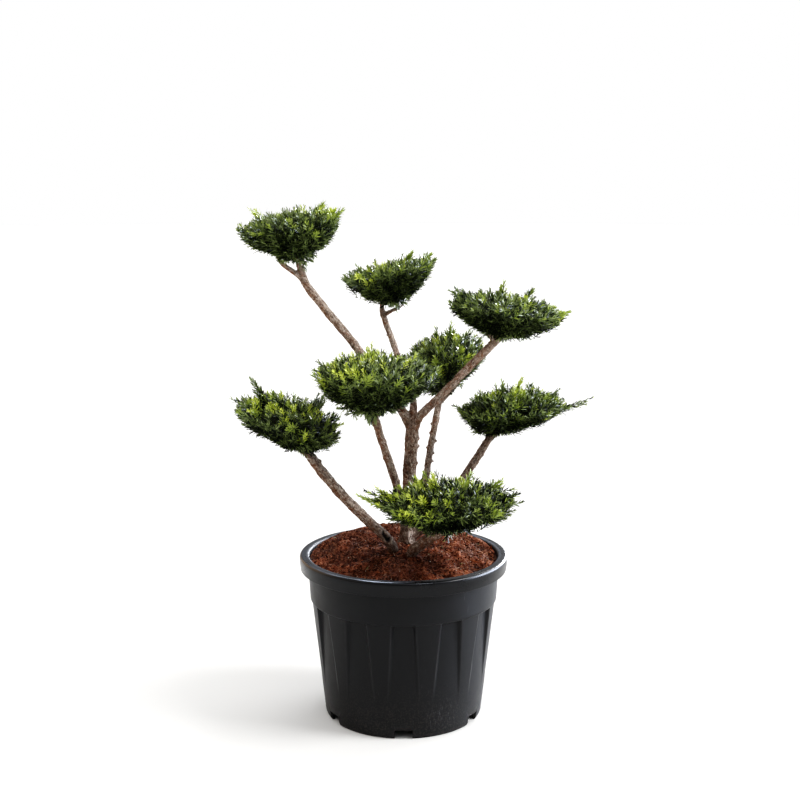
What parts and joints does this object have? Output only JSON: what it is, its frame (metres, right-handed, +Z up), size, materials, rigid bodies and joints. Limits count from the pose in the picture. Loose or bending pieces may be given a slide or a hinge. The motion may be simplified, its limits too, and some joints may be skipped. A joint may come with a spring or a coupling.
{
  "type": "potted conifer",
  "caption": "Cloud-pruned yew with clipped flat-topped foliage clouds on spreading bare boughs, in a black ribbed nursery pot.",
  "frame": {"origin": "centre of the pot's flat underside, on the ground", "axes": "+Z up along the pot's axis; -Y the side that the low front cloud hangs over; +X to the right seen from there"},
  "size_m": [0.681, 0.4823, 0.981],
  "materials": {
    "pot_plastic": "satin moulded black polypropylene",
    "compost": "loose moist bark and coir crumb",
    "bark": "thin flaking bark",
    "needles": "leathery needles, satin"
  },
  "bodies": {
    "root": {"pot": "pot_plastic", "compost": "compost", "trunk": "bark", "bough_top_left": "bark", "bough_top_middle": "bark", "bough_upper_right": "bark", "bough_back_right": "bark", "bough_front_left": "bark", "bough_low_left": "bark", "bough_low_right": "bark", "bough_low_front": "bark", "foliage_top_left": "needles", "foliage_top_middle": "needles", "foliage_upper_right": "needles", "foliage_back_right": "needles", "foliage_front_left": "needles", "foliage_low_left": "needles", "foliage_low_right": "needles", "foliage_low_front": "needles"}
  },
  "joints": []
}
